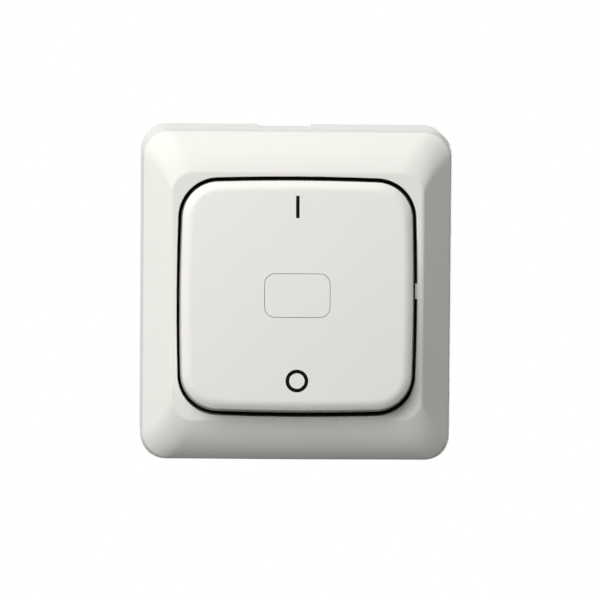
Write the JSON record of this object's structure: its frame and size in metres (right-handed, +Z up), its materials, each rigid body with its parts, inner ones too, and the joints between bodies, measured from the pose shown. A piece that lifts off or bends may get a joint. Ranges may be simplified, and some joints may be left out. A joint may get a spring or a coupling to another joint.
{
  "type": "surface-mounted light switch",
  "caption": "Square surface-mounted rocker light switch with a sloping bezel, a centre window, a wall box and a two-pole see-saw contact insert.",
  "frame": {"origin": "middle of the back face, in the plane of the wall", "axes": "+Y into the wall, normal to the back face; +Z up the longer side; the front faces -Y and +X is to the right seen from the front"},
  "size_m": [0.0856, 0.0503, 0.0914],
  "materials": {
    "bezel_plastic": "moulded, warm white, glossy",
    "box_plastic": "moulded, warm white, semi-gloss",
    "rocker_plastic": "moulded, warm white, satin gloss",
    "window_plastic": "moulded, warm white, satin gloss",
    "black_plastic": "moulded thermoset, matt black",
    "carrier_plastic": "moulded, grey",
    "plunger_nylon": "turned or moulded nylon",
    "brass": "stamped brass strip",
    "silver_contact": "silver alloy rivet",
    "spring_steel": "drawn spring wire",
    "zinc_plated_steel": "zinc-plated screw steel",
    "blackened_steel": "blackened screw steel"
  },
  "bodies": {
    "case": {"bezel": "bezel_plastic", "mounting_box": "box_plastic", "insert_housing": "black_plastic", "insert_base": "black_plastic", "line_terminal_left": "brass", "line_terminal_right": "brass", "load_terminal_left": "brass", "load_terminal_right": "brass", "fixed_tip_left": "silver_contact", "fixed_tip_right": "silver_contact", "terminal_clamps": "zinc_plated_steel", "terminal_screws": "zinc_plated_steel", "case_screws": "zinc_plated_steel", "insert_screws": "blackened_steel"},
    "rocker_group": {"rocker": "rocker_plastic", "indicator_window": "window_plastic", "rocker_carrier": "carrier_plastic", "plunger_left": "plunger_nylon", "plunger_right": "plunger_nylon", "plunger_spring_left": "spring_steel", "plunger_spring_right": "spring_steel"},
    "contact_left": {"contact_arm_left": "brass", "moving_tip_left": "silver_contact"},
    "contact_right": {"contact_arm_right": "brass", "moving_tip_right": "silver_contact"}
  },
  "joints": [
    {"name": "rocker_hinge", "type": "hinge", "parent": "case", "child": "rocker_group", "pos_m": [0, -0.0412, 0], "axis": [1, 0, 0], "range_deg": [0, 9]},
    {"name": "contact_left_tilt", "type": "hinge", "parent": "case", "child": "contact_left", "pos_m": [-0.01, -0.0206, 0], "axis": [1, 0, 0], "range_deg": [-18, 0]},
    {"name": "contact_right_tilt", "type": "hinge", "parent": "case", "child": "contact_right", "pos_m": [0.01, -0.0206, 0], "axis": [1, 0, 0], "range_deg": [-18, 0]}
  ],
  "couplings": [
    {"joint": "contact_left_tilt", "follows": "rocker_hinge", "ratio": -2},
    {"joint": "contact_right_tilt", "follows": "rocker_hinge", "ratio": -2}
  ]
}
